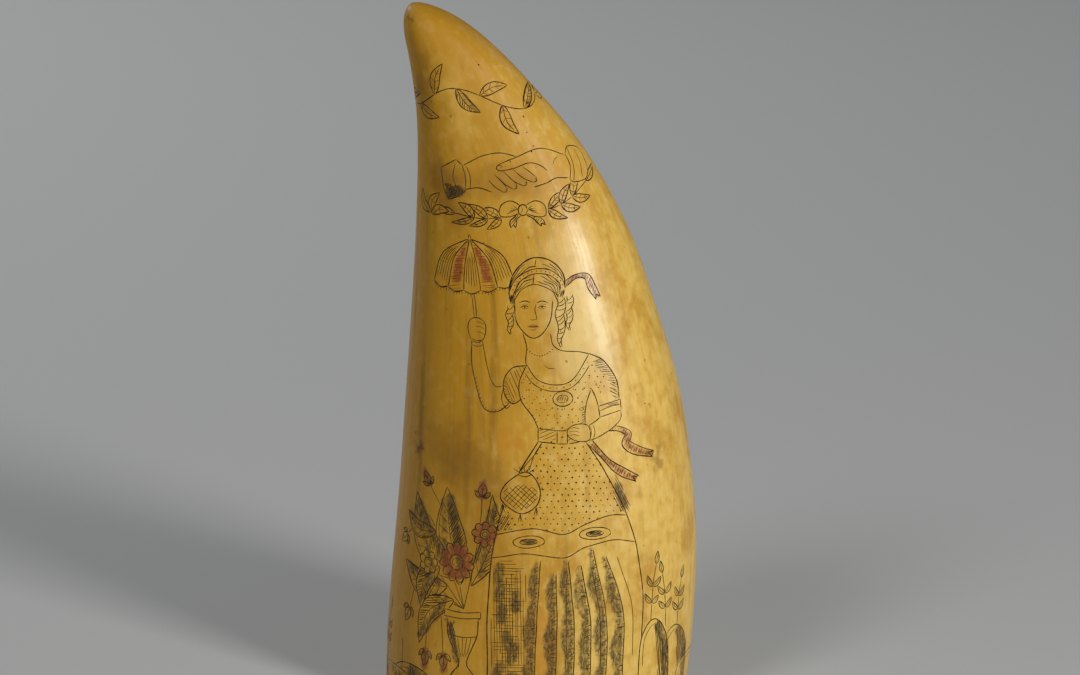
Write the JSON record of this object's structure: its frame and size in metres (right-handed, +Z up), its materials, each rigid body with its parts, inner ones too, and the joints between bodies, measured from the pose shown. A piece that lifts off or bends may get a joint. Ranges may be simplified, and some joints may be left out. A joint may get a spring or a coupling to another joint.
{
  "type": "scrimshaw whale tooth",
  "caption": "Curved whale tooth of ivory, sawn flat to stand upright, with an open pulp cavity below and an ink-filled engraving round its polished sides.",
  "frame": {"origin": "in the plane of the sawn root, under the middle of the tooth's width and depth", "axes": "+Z up from the root to the tip, the engraved broad side faces -Y, the tip hooks over to -X"},
  "size_m": [0.067, 0.043, 0.152],
  "materials": {
    "ivory": "aged yellow ivory, hand polished to a soft gloss, with dark and faint red ink in its engraved lines"
  },
  "bodies": {
    "root": {"whale_tooth": "ivory"}
  },
  "joints": []
}
